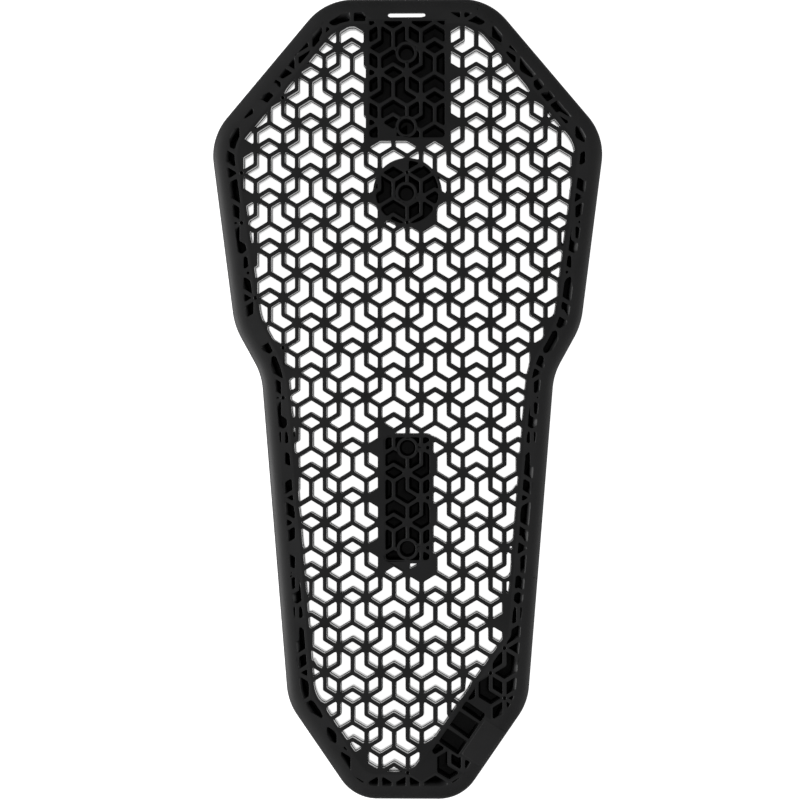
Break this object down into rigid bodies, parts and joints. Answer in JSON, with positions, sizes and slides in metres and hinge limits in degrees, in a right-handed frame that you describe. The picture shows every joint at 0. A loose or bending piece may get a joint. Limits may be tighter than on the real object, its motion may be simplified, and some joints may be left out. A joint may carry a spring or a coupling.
{
  "type": "back protector insert",
  "caption": "Thin black moulded pad for the back, waisted outline, pierced three-way lattice inside a flat flange, two ribbed panels, a round hub and a hanging slot.",
  "frame": {"origin": "centre of the outline on the surface that the pad lies on, outer face down", "axes": "+X to the right of the pad as the picture shows it, +Y towards the neck end with the hanging slot, +Z out of the inner face towards the viewer"},
  "size_m": [0.2156, 0.443, 0.015],
  "materials": {
    "rim": "matte, fine moulded grain",
    "core": "satin, smooth ribs",
    "panel": "matte floor, satin ribs",
    "boss": "satin",
    "label": "matte, bare"
  },
  "bodies": {
    "root": {"rim": "rim", "hanger_tab": "rim", "lattice_core": "core", "top_panel": "panel", "lower_panel": "panel", "hub_plate": "panel", "corner_panel": "panel", "top_boss_upper": "boss", "top_boss_lower": "boss", "lower_boss_upper": "boss", "lower_boss_lower": "boss", "hub_ring": "boss", "label_pad": "label"}
  },
  "joints": []
}
